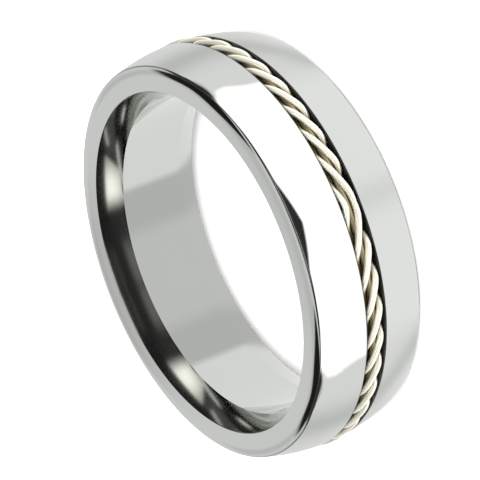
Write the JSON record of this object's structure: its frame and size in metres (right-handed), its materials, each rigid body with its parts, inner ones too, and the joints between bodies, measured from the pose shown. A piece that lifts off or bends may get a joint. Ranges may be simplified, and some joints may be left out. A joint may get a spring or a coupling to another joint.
{
  "type": "tungsten ring",
  "caption": "Domed finger ring of polished tungsten carbide with a comfort-fit bore and a twisted wire braid laid in a black-lined channel round its middle.",
  "frame": {"origin": "middle of the side face that the ring rests on, on the axis of the bore", "axes": "+Z along the axis of the bore, up from the side face that the ring rests on; every direction across it is alike"},
  "size_m": [0.025, 0.025, 0.007],
  "materials": {
    "tungsten_carbide": "mirror-polished tungsten carbide, neutral grey",
    "black_resin": "glossy black resin lining",
    "pale_gold_wire": "bright polished pale gold wire"
  },
  "bodies": {
    "root": {"band": "tungsten_carbide", "inlay_bed": "black_resin", "braid": "pale_gold_wire"}
  },
  "joints": []
}
